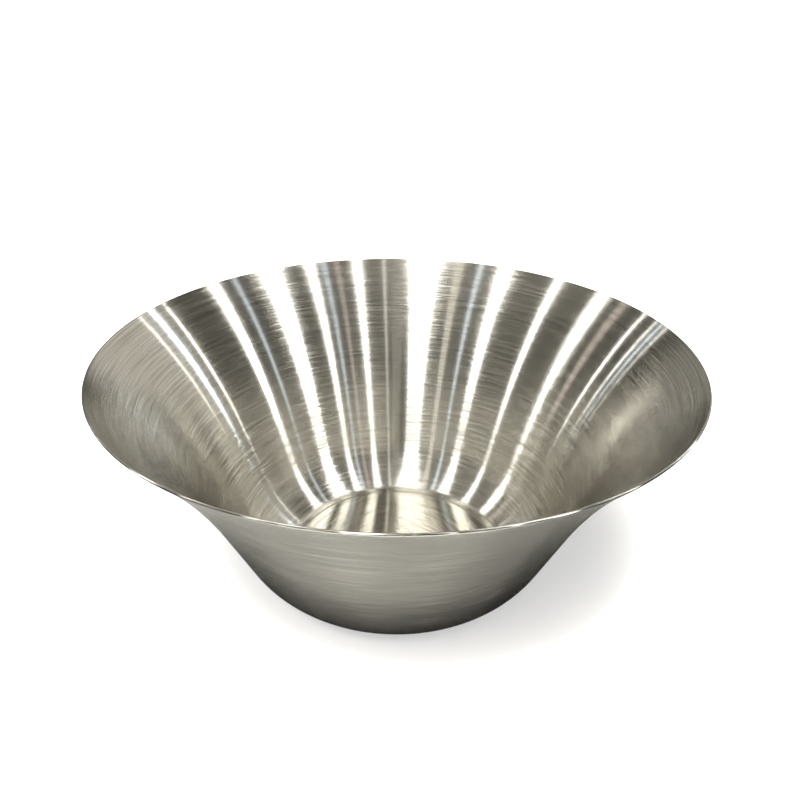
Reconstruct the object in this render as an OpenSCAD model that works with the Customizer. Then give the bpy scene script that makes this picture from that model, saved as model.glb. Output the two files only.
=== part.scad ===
// Offering bowl: one dish spun from stainless sheet, with a flat floor, a rounded foot and a
// wall that flares like a trumpet to a thin plain rim.
// The origin is the middle of the foot on the table, Z is up, and Z is the bowl's own axis.

/* [Bowl] */
// Diameter over the rim
rim_d = 240; // [200:1:300]
// Height of the rim's top over the table
bowl_h = 100; // [80:1:125]
// Diameter of the flat floor, measured where the corner starts
floor_d = 98; // [80:1:120]
// Thickness of the sheet
sheet = 1; // [0.6:0.1:2]

/* [Wall] */
// Outside radius of the tight corner at the edge of the floor
corner_r = 7; // [4:0.5:12]
// Outside radius of the belly, which carries the turn on from the corner to the cone
belly_r = 40; // [25:1:60]
// Share of the whole turn from floor to cone that the tight corner makes
corner_turn_share = 0.46; // [0.3:0.01:0.6]
// Length of the straight cone between the belly and the flare
cone_l = 26; // [10:1:40]
// Degrees by which the cone stands steeper than a line from the floor's edge to the rim
cone_steeper = 9.7; // [7:0.1:12]

/* [Foot] */
// Height of the pressed-up floor panel over the standing ring
panel_rise = 0.4; // [0.2:0.1:1]
// Width of the flat standing ring between the panel's step and the corner
ring_w = 2; // [1:0.5:6]
// Radius of the two bends that make the panel's step, on the middle of the sheet
step_r = 1.5; // [1.2:0.1:4]

/* [Hidden] */
// Segments in a full circle
round_fn = 360;

half = sheet / 2;
floor_r = floor_d / 2;

// Lines in the section are given by their lean: degrees from upright, away from the axis
function along(lean) = [sin(lean), cos(lean)];
function inward(lean) = [-cos(lean), sin(lean)];
function polar(angle) = [cos(angle), sin(angle)];

// The middle of the sheet is followed from the floor to the rim
cone_lean = atan2(rim_d / 2 - floor_r, bowl_h) - cone_steeper;
belly_lean = 90 - corner_turn_share * (90 - cone_lean);
corner_at = [floor_r, corner_r];
belly_at = corner_at + (belly_r - corner_r) * inward(belly_lean);
cone_from = belly_at - (belly_r - half) * inward(cone_lean);
cone_to = cone_from + cone_l * along(cone_lean);

// One arc leaves the cone without a kink and ends in the middle of the rim's rounded edge
rim_at = [rim_d / 2 - half, bowl_h - half];
to_rim = rim_at - cone_to;
aside = -to_rim * inward(cone_lean);
flare_r = to_rim * to_rim / (2 * aside);
flare_at = cone_to - flare_r * inward(cone_lean);
rim_lean = cone_lean + 2 * atan2(aside, to_rim * along(cone_lean));

// The panel's step is two equal bends, one each way
step_turn = acos(1 - panel_rise / (2 * step_r));
ring_from = floor_r - ring_w;
panel_r = ring_from - 2 * step_r * sin(step_turn);
panel_z = half + panel_rise;
step_from = [panel_r, panel_z - step_r];
step_to = [ring_from, half + step_r];

// A slice of a disc, between two angles seen from its centre
module slice(at, r, from, to) {
    reach = 2 * r / cos((to - from) / 2);
    translate(at)
        intersection() {
            circle(r = r, $fn = round_fn);
            polygon([[0, 0], reach * polar(from), reach * polar(to)]);
        }
}

// Half the section of the space that one face of the sheet holds, closed over the rim.
// The face lies `shift` from the middle of the sheet, towards the inside of the bowl.
module space_in_face(shift, close_to) {
    difference() {
        union() {
            polygon([
                [0, panel_z + shift],
                [panel_r, panel_z + shift],
                step_from + (step_r + shift) * polar(90 - step_turn),
                [ring_from, half + shift],
                [floor_r, half + shift],
                corner_at - (corner_r - half - shift) * inward(belly_lean),
                cone_from + shift * inward(cone_lean),
                cone_to + shift * inward(cone_lean),
                rim_at + shift * inward(rim_lean),
                each close_to
            ]);
            slice(step_to, step_r - shift, -90 - step_turn, -90);
            slice(corner_at, corner_r - half - shift, -90, -belly_lean);
            slice(belly_at, belly_r - half - shift, -belly_lean, -cone_lean);
        }
        slice(step_from, step_r + shift, 90 - step_turn, 90);
        slice(flare_at, flare_r + shift, 180 - rim_lean, 180 - cone_lean);
    }
}

module bowl() {
    // The outer space ends at the sheet's cut edge, and the inner one runs on past it
    edge_line = rim_at + rim_at.x / cos(rim_lean) * inward(rim_lean);
    past_edge = rim_at + half * inward(rim_lean) + sheet * along(rim_lean);
    color("silver")
        rotate_extrude($fn = round_fn) {
            difference() {
                space_in_face(-half, [edge_line]);
                space_in_face(half, [past_edge, [0, edge_line.y + sheet]]);
            }
            // The cut edge is dressed round
            translate(rim_at) circle(r = half, $fn = round_fn);
        }
}

bowl();
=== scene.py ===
from math import acos, atan2, cos, pi, radians, sin, sqrt

import bpy
from mathutils import Matrix, Vector


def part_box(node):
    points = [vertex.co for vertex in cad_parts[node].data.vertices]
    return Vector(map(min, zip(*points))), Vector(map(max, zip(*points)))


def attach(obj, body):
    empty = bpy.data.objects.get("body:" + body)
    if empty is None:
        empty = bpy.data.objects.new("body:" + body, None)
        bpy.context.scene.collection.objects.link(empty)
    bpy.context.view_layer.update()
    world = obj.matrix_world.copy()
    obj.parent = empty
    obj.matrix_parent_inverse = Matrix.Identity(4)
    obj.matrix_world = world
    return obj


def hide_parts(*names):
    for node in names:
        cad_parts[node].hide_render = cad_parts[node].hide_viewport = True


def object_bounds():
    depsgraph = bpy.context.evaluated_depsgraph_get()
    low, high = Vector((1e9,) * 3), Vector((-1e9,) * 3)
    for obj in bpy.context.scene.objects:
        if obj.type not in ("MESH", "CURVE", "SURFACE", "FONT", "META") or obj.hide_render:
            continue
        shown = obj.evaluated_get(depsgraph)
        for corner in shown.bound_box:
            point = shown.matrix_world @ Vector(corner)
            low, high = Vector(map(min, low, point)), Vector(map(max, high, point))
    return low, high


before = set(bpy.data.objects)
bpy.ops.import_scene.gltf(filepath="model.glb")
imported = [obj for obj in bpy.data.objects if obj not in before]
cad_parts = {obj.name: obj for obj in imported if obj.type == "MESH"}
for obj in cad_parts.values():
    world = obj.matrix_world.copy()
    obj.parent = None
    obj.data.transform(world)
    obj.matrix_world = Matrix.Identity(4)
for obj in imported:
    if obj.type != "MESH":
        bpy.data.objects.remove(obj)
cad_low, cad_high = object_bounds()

for cad_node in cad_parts.values():
    cad_node.select_set(False)
bpy.context.scene.view_settings.view_transform = "Standard"


# Camera: a close view, from 33 cm off the middle of the rim and 24 degrees above it. It looks down
# 28 degrees, is turned by less than half a degree, and its picture is slightly off the lens's axis.
rim_middle = Vector((0, 0, cad_high.z))
camera_reach = 0.330
camera_elevation = radians(24.43)
camera_dip = radians(27.78)
camera_roll = radians(0.4)
camera_shift = 0.0041
camera_near = 0.01
focal_px = 820.66
picture_px = 800
sensor_mm = 36

camera_place = rim_middle + camera_reach * Vector((0, -cos(camera_elevation), sin(camera_elevation)))
camera_turn = Matrix.Rotation(pi / 2 - camera_dip, 4, "X") @ Matrix.Rotation(camera_roll, 4, "Z")
bpy.ops.object.camera_add(location=camera_place, rotation=camera_turn.to_euler())
camera = bpy.context.object
camera.name = "camera"
camera.data.sensor_width = sensor_mm
camera.data.lens = focal_px / picture_px * sensor_mm
camera.data.shift_x = camera_shift
camera.data.clip_start = camera_near
bpy.context.scene.camera = camera


# Studio: a dim room with long strip lights over the front of the bowl. Each strip light is a band of the sky
# that brushed metal mirrors as one streak, from the rim down to the floor, at the strip's own azimuth.
def add(tree, kind, values=None, **settings):
    """One shader node, with its options set and its sockets filled with values or links."""
    made = tree.nodes.new("ShaderNode" + kind)
    for option, value in settings.items():
        setattr(made, option, value)
    for socket, value in (values or {}).items():
        if isinstance(value, bpy.types.NodeSocket):
            tree.links.new(value, made.inputs[socket])
        else:
            made.inputs[socket].default_value = value
    return made


def math(tree, operation, *values):
    return add(tree, "Math", dict(enumerate(values)), operation=operation).outputs[0]


def vector_math(tree, operation, *values):
    made = add(tree, "VectorMath", dict(enumerate(values)), operation=operation)
    return made.outputs["Value" if operation in ("DOT_PRODUCT", "LENGTH") else "Vector"]


def map_range(tree, value, low, high, to_low, to_high, kind="SMOOTHSTEP"):
    ends = {"Value": value, "From Min": low, "From Max": high, "To Min": to_low, "To Max": to_high}
    return add(tree, "MapRange", ends, interpolation_type=kind).outputs[0]


def mix_colours(tree, factor, first, second):
    return add(tree, "Mix", {0: factor, 6: first, 7: second}, data_type="RGBA").outputs[2]


world = bpy.data.worlds.new("studio")
bpy.context.scene.world = world
world.use_nodes = True
world.cycles.sampling_method = "NONE"
sky = world.node_tree
sky.nodes.clear()
toward = add(sky, "TexCoord").outputs["Generated"]
heading = add(sky, "SeparateXYZ", {"Vector": toward})
rise = heading.outputs["Z"]

# The room's walls are paler higher up, and its ceiling is paler from the middle to the left. A rise is a
# height in the sky, from 0 at the horizon to 1 overhead.
room_tint = (1.0, 0.955, 0.84)
wall_rises = (0.30, 0.60)
wall_levels = (0.085, 0.15)
ceiling_rises = (0.60, 0.85)
ceiling_sides = (0.45, 0.10)
ceiling_level = 0.20
walls = map_range(sky, rise, *wall_rises, *wall_levels)
ceiling = map_range(sky, heading.outputs["X"], *ceiling_sides, 0.0, ceiling_level)
overhead = map_range(sky, rise, *ceiling_rises, 0.0, 1.0)
light = vector_math(sky, "MULTIPLY", math(sky, "MULTIPLY_ADD", ceiling, overhead, walls), room_tint)

WHITE = (1.0, 0.99, 0.96)
BLUISH = (0.78, 0.88, 1.0)
CREAM = (1.0, 0.96, 0.88)
PINK = (1.0, 0.88, 0.82)
# Azimuth on the bowl's wall and width there in degrees, brightness, brightness low over the table, tint
STRIPS = (
    (162.6, 0.3, 1.2, 6.0, WHITE),
    (158.4, 0.8, 2.4, 11.0, BLUISH),
    (153.9, 0.35, 2.0, 11.0, WHITE),
    (138.4, 1.9, 3.4, 8.0, WHITE),
    (132.5, 0.8, 1.1, 1.5, BLUISH),
    (122.8, 4.3, 3.4, 5.0, WHITE),
    (112.4, 1.8, 3.4, 4.0, WHITE),
    (108.8, 1.0, 1.1, 1.2, BLUISH),
    (105.5, 1.0, 0.5, 0.6, PINK),
    (100.4, 1.8, 3.4, 3.4, WHITE),
    (93.5, 0.5, 1.3, 1.3, WHITE),
    (90.1, 3.2, 0.10, 0.25, CREAM),
    (83.0, 6.2, 3.4, 3.4, WHITE),
    (74.3, 1.8, 0.8, 0.9, CREAM),
    (68.8, 1.0, 1.3, 1.5, BLUISH),
    (62.4, 2.8, 3.4, 3.8, WHITE),
    (48.2, 1.45, 3.4, 5.0, WHITE),
    (35.2, 1.2, 3.4, 10.0, WHITE),
    (28.5, 1.4, 0.5, 0.8, PINK),
    (21.3, 0.3, 2.2, 10.0, WHITE),
    (16.6, 0.2, 2.2, 10.0, WHITE),
    (14.6, 0.2, 2.2, 10.0, BLUISH),
    (12.6, 0.25, 2.4, 10.0, WHITE),
)
# A strip's streak is aimed at the camera from the middle of the wall, at this distance from the axis and this
# height. Its band in the sky is wider than the streak by the spread.
wall_reach = 0.090
wall_lift = 0.060
width_spread = 1.5
# Along a strip, 0 is its highest point and 1 the horizon ahead of that stretch of wall. It begins a little
# behind the highest point, gets a boost there, and changes to its low brightness on the way to the table.
strip_start = (-0.32, 0.0)
strip_overhead = (0.18, 0.05)
overhead_boost = 1.8
strip_low = (0.50, 0.75)
lamps = (0, 0, 0)
for azimuth, width, brightness, low_brightness, tint in STRIPS:
    turn = radians(azimuth)
    across = Vector((-sin(turn), cos(turn), 0))
    over = Vector((-cos(turn), -sin(turn), 0))
    wall_spot = Vector((wall_reach * cos(turn), wall_reach * sin(turn), wall_lift))
    view_way = (camera_place - wall_spot).normalized()
    sideways = vector_math(sky, "DOT_PRODUCT", toward, across)
    lit = math(sky, "COMPARE", sideways, -across.dot(view_way), radians(width) / 2 * width_spread)
    reach = sqrt(1 - across.dot(view_way) ** 2)
    ahead = vector_math(sky, "DOT_PRODUCT", toward, over)
    high = map_range(sky, ahead, *(share * reach for share in strip_overhead),
                     brightness, overhead_boost * brightness)
    low = map_range(sky, ahead, *(share * reach for share in strip_low), 0.0, low_brightness - brightness)
    start = map_range(sky, ahead, *(share * reach for share in strip_start), 0.0, 1.0)
    glow = math(sky, "MULTIPLY", math(sky, "ADD", high, low), start)
    lamps = vector_math(sky, "MULTIPLY_ADD", math(sky, "MULTIPLY", lit, glow), tint, lamps)

# The strips end in the air above the table, and higher up behind the bowl than in front of it
behind = (0.45, 0.75)
strip_ends = (0.15, 0.42)
end_fade = 0.12
lowest = map_range(sky, heading.outputs["Y"], *behind, *strip_ends)
above = map_range(sky, rise, lowest, math(sky, "ADD", lowest, end_fade), 0.0, 1.0)
light = vector_math(sky, "MULTIPLY_ADD", lamps, above, light)

# A pale wall and a window stand behind the bowl, to the right and left, and one small lamp hangs on the left.
# Azimuth, elevation, and distance from the middle to the edge and to full strength in degrees, strength, tint
PATCHES = (
    (52, 18, 32, 12, 0.66, CREAM),
    (108, 14, 24, 8, 0.25, CREAM),
    (163, 39, 3.8, 1.2, 18.0, WHITE),
)
for azimuth, elevation, edge, full, strength, tint in PATCHES:
    turn = radians(azimuth)
    lift = radians(elevation)
    way = (cos(lift) * cos(turn), cos(lift) * sin(turn), sin(lift))
    nearness = vector_math(sky, "DOT_PRODUCT", toward, way)
    patch = map_range(sky, nearness, cos(radians(edge)), cos(radians(full)), 0.0, strength)
    light = vector_math(sky, "MULTIPLY_ADD", patch, tint, light)

# What isn't metal is lit by one soft box, overhead and a little to the front and left, and by a faint glow
box_way = Vector((-0.15, -0.28, 1)).normalized()
box_tint = (1.0, 0.98, 0.92)
box_tightness = 24.0
box_strength = 85.0
glow_tightness = 3.0
glow_strength = 0.3
facing = math(sky, "MAXIMUM", vector_math(sky, "DOT_PRODUCT", toward, box_way), 0.0)
soft_box = math(sky, "MULTIPLY", math(sky, "POWER", facing, box_tightness), box_strength)
soft = math(sky, "MULTIPLY_ADD", math(sky, "POWER", facing, glow_tightness), glow_strength, soft_box)
paths = add(sky, "LightPath")
warm = vector_math(sky, "MULTIPLY", soft, box_tint)
plain = mix_colours(sky, paths.outputs["Is Camera Ray"], warm, (1, 1, 1, 1))
studio = mix_colours(sky, paths.outputs["Is Glossy Ray"], plain, light)
backdrop = add(sky, "Background", {"Color": studio, "Strength": 1.0})
add(sky, "OutputWorld", {"Surface": backdrop.outputs[0]})


# Floor: a wide plain table with matt white paint. It takes the bowl's soft shadow, and the bowl's outside
# mirrors it. The camera sees it partly as plain white, so that the background stays pale.
floor_size = 30
paint_shades = (0.84, 0.86)
mottle_scale = 40.0
mottle_detail = 3.0
noise_spread = (0.3, 0.7)
white_share = 0.55
# In the mirror the table has a painted pool of light in front of the bowl, a little to the left, painted
# shade round the foot, and painted dimming again farther out. The camera sees none of this painted light.
pool_middle = (-0.010, -0.30, 0)
pool_edge = (0.15, 0.275)
past_pool = 0.20
foot_edge = (0.062, 0.132)
foot_shade = 0.14
far_edge = (0.130, 0.160)
far_shade = 0.30

bpy.ops.mesh.primitive_plane_add(size=floor_size)
floor = bpy.context.object
floor.name = "floor"
table_paint_and_painted_light = bpy.data.materials.new("table_paint_and_painted_light")
table_paint_and_painted_light.use_nodes = True
tree = table_paint_and_painted_light.node_tree
tree.nodes.clear()
spot = add(tree, "TexCoord").outputs["Object"]
mottle = add(tree, "TexNoise", {"Vector": spot, "Scale": mottle_scale,
                                "Detail": mottle_detail}).outputs["Fac"]
shade = map_range(tree, mottle, *noise_spread, *paint_shades)
seen = add(tree, "LightPath").outputs["Is Camera Ray"]
# Painted light: a painted pool of light times painted shade round the foot and far out, set in the table's
# colour for all rays but the camera's
from_pool = vector_math(tree, "LENGTH", vector_math(tree, "SUBTRACT", spot, pool_middle))
painted_pool = map_range(tree, from_pool, *pool_edge, 1.0, past_pool)
from_foot = vector_math(tree, "LENGTH", spot)
painted_shade = math(tree, "MULTIPLY", map_range(tree, from_foot, *foot_edge, foot_shade, 1.0),
              map_range(tree, from_foot, *far_edge, 1.0, far_shade))
painted_light = math(tree, "MAXIMUM", math(tree, "MULTIPLY", painted_pool, painted_shade), seen)
matte = add(tree, "BsdfDiffuse", {"Color": math(tree, "MULTIPLY", shade, painted_light)}).outputs[0]
white = add(tree, "Emission", {"Color": (1, 1, 1, 1), "Strength": 1.0}).outputs[0]
surface = add(tree, "MixShader", {0: math(tree, "MULTIPLY", seen, white_share), 1: matte, 2: white})
add(tree, "OutputMaterial", {"Surface": surface.outputs[0]})
floor.data.materials.append(table_paint_and_painted_light)


# Bowl: one disc of stainless steel sheet, spun over a former in one go. It has a pressed-up floor panel, a
# tight corner, a rounded belly, a straight cone and a flare that ends in a cut edge dressed round, and stands
# free. Its diameter and height come from the solid's box, and the other sizes are the solid's own.
box_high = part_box("bowl")[1]
rim_r = box_high.x
bowl_h = box_high.z
floor_r = 0.049
sheet = 0.001
corner_r = 0.007
belly_r = 0.040
corner_turn_share = 0.46
cone_l = 0.026
cone_steeper = radians(9.7)
panel_rise = 0.0004
ring_w = 0.002
step_r = 0.0015

round_cuts = 384
step_cuts = 4
corner_cuts = 12
belly_cuts = 18
cone_cuts = 6
flare_cuts = 24
dressed_share = 0.95
dressed_cuts = 5
cut_edge_angle = radians(60)
smooth_angle = radians(40)


def along(lean):
    return Vector((sin(lean), cos(lean)))


def inward(lean):
    return Vector((-cos(lean), sin(lean)))


def arc(centre, radius, from_lean, to_lean, cuts):
    """Points of the section from one lean to the other, round a centre that lies inward of the sheet."""
    leans = [from_lean + (to_lean - from_lean) * cut / cuts for cut in range(1, cuts + 1)]
    return [centre - radius * inward(lean) for lean in leans]


# The middle of the sheet, as (distance from the axis, height), from the floor panel out to the rim
half = sheet / 2
flat_lean = pi / 2
cone_lean = atan2(rim_r - floor_r, bowl_h) - cone_steeper
belly_lean = flat_lean - corner_turn_share * (flat_lean - cone_lean)
corner_at = Vector((floor_r, corner_r))
belly_at = corner_at + (belly_r - corner_r) * inward(belly_lean)
cone_from = belly_at - (belly_r - half) * inward(cone_lean)
cone_to = cone_from + cone_l * along(cone_lean)
rim_at = Vector((rim_r - half, bowl_h - half))
to_rim = rim_at - cone_to
aside = -to_rim.dot(inward(cone_lean))
flare_r = to_rim.length_squared / (2 * aside)
flare_at = cone_to - flare_r * inward(cone_lean)
rim_lean = cone_lean + 2 * atan2(aside, to_rim.dot(along(cone_lean)))
step_turn = acos(1 - panel_rise / (2 * step_r))
ring_from = floor_r - ring_w
panel_r = ring_from - 2 * step_r * sin(step_turn)
panel_z = half + panel_rise

section = arc(Vector((panel_r, panel_z - step_r)), -step_r, flat_lean, flat_lean + step_turn, step_cuts)
section += arc(Vector((ring_from, half + step_r)), step_r, flat_lean + step_turn, flat_lean, step_cuts)
section += [Vector((floor_r, half))]
section += arc(corner_at, corner_r - half, flat_lean, belly_lean, corner_cuts)
section += arc(belly_at, belly_r - half, belly_lean, cone_lean, belly_cuts)
section += [cone_from.lerp(cone_to, cut / cone_cuts) for cut in range(1, cone_cuts + 1)]
section += arc(flare_at, -flare_r, cone_lean, rim_lean, flare_cuts)
section += [rim_at + half * along(rim_lean)]

# The panel is a disc, and each further point of the section is one more ring drawn out of its edge
bpy.ops.mesh.primitive_circle_add(vertices=round_cuts, radius=panel_r, fill_type="TRIFAN",
                                  location=(0, 0, panel_z))
bowl = bpy.context.object
bowl.name = "spun_bowl"
bpy.ops.object.transform_apply(location=True)
bpy.ops.object.mode_set(mode="EDIT")
bpy.ops.mesh.select_mode(type="EDGE")
bpy.ops.mesh.select_all(action="SELECT")
bpy.ops.mesh.region_to_loop()
reached = Vector((panel_r, panel_z))
for ring in section:
    widen = ring.x / reached.x
    bpy.ops.mesh.extrude_edges_move(TRANSFORM_OT_translate={"value": (0, 0, ring.y - reached.y)})
    bpy.ops.transform.resize(value=(widen, widen, 1), center_override=(0, 0, 0))
    reached = ring
bpy.ops.mesh.select_all(action="SELECT")
bpy.ops.mesh.normals_make_consistent(inside=False)
bpy.ops.object.mode_set(mode="OBJECT")
thicken = bowl.modifiers.new("sheet", "SOLIDIFY")
thicken.thickness = sheet
thicken.offset = 0
thicken.use_even_offset = True
bpy.ops.object.modifier_apply(modifier="sheet")
dress = bowl.modifiers.new("dressed_edge", "BEVEL")
dress.width = half * dressed_share
dress.segments = dressed_cuts
dress.limit_method = "ANGLE"
dress.angle_limit = cut_edge_angle
bpy.ops.object.modifier_apply(modifier="dressed_edge")
bpy.ops.object.shade_smooth_by_angle(angle=smooth_angle)

# Brushed steel: stainless, brushed round the axis on both sides, and much more lightly on the floor panel.
# Grooves and lines tilt the surface up and down, lines also vary its tone and roughness, and wander tilts it
# round the axis.
noise_middle = 0.5
noise_roughness = 0.6
floor_fade = 0.004
floor_depth = 0.08
outside_depth = 0.5
outside_facing = 0.1
wander_tilt = 0.008
line_tilt = 0.025
groove_tilt = 0.9
groove_curve = 10.0
line_roughness = (0.13, 0.145)
floor_smoothing = 0.6
outside_roughness = 0.04
dark_steel = (0.485, 0.471, 0.426, 1)
light_steel = (0.645, 0.626, 0.568, 1)
quarter_turn = 0.25

steel = bpy.data.materials.new("brushed_steel")
steel.use_nodes = True
tree = steel.node_tree
tree.nodes.clear()
spot = add(tree, "TexCoord").outputs["Object"]
normal = add(tree, "NewGeometry").outputs["Normal"]
brush_way = vector_math(tree, "NORMALIZE", vector_math(tree, "CROSS_PRODUCT", (0, 0, 1), spot))
up_way = vector_math(tree, "NORMALIZE", vector_math(tree, "CROSS_PRODUCT", normal, brush_way))
parts = add(tree, "SeparateXYZ", {"Vector": spot})
height = parts.outputs["Z"]
flat = add(tree, "CombineXYZ", {"X": parts.outputs["X"], "Y": parts.outputs["Y"]}).outputs[0]
from_axis = vector_math(tree, "LENGTH", flat)
spoke = vector_math(tree, "NORMALIZE", flat)
up_section = math(tree, "ADD", from_axis, height)


def scaled(vector, factor):
    return add(tree, "VectorMath", {"Vector": vector, "Scale": factor}, operation="SCALE").outputs["Vector"]


def brush_lines(round_scale, line_scale, detail):
    """Noise drawn out round the axis: seamless, and fine across the brushing."""
    lifted = add(tree, "CombineXYZ", {"Z": math(tree, "MULTIPLY", up_section, line_scale)}).outputs[0]
    where = vector_math(tree, "ADD", scaled(spoke, round_scale), lifted)
    noise = {"Vector": where, "Scale": 1.0, "Detail": detail, "Roughness": noise_roughness}
    return add(tree, "TexNoise", noise).outputs["Fac"]


grooves = brush_lines(round_scale=3.0, line_scale=20000.0, detail=0.0)
lines = brush_lines(round_scale=3.0, line_scale=1400.0, detail=1.0)
wander = brush_lines(round_scale=4.0, line_scale=1300.0, detail=1.0)

depth = map_range(tree, from_axis, floor_r - floor_fade, floor_r + floor_fade, floor_depth, 1.0)
facing_out = vector_math(tree, "DOT_PRODUCT", normal, spoke)
outside = math(tree, "MULTIPLY", map_range(tree, facing_out, 0.0, outside_facing, 0.0, 1.0),
               map_range(tree, height, bowl_h - sheet, bowl_h - half, 1.0, 0.0))
deep = math(tree, "MULTIPLY", depth, math(tree, "MULTIPLY_ADD", outside, -outside_depth, 1.0))

slope = math(tree, "SUBTRACT", grooves, noise_middle)
steepness = math(tree, "MULTIPLY_ADD", math(tree, "POWER", slope, 2.0), groove_curve, groove_tilt)
line_slope = math(tree, "MULTIPLY", math(tree, "SUBTRACT", lines, noise_middle), line_tilt)
up_tilt = math(tree, "MULTIPLY", math(tree, "MULTIPLY_ADD", slope, steepness, line_slope), deep)
round_tilt = math(tree, "MULTIPLY", math(tree, "SUBTRACT", wander, noise_middle),
                  math(tree, "MULTIPLY", depth, wander_tilt))
tilt = vector_math(tree, "ADD", scaled(brush_way, round_tilt), scaled(up_way, up_tilt))
worked = vector_math(tree, "NORMALIZE", vector_math(tree, "ADD", normal, tilt))

rough_inside = math(tree, "MULTIPLY", map_range(tree, lines, *noise_spread, *line_roughness),
                    map_range(tree, depth, floor_depth, 1.0, floor_smoothing, 1.0, "LINEAR"))
rough = math(tree, "MULTIPLY_ADD", outside, outside_roughness, rough_inside)
metal = mix_colours(tree, map_range(tree, lines, *noise_spread, 0.0, 1.0), dark_steel, light_steel)
shader = add(tree, "BsdfPrincipled", {"Base Color": metal, "Normal": worked, "Tangent": brush_way,
                                      "Metallic": 1.0, "Roughness": rough, "Anisotropic": 1.0,
                                      "Anisotropic Rotation": quarter_turn})
add(tree, "OutputMaterial", {"Surface": shader.outputs[0]})
bowl.data.materials.append(steel)
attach(bowl, "root")
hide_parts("bowl")
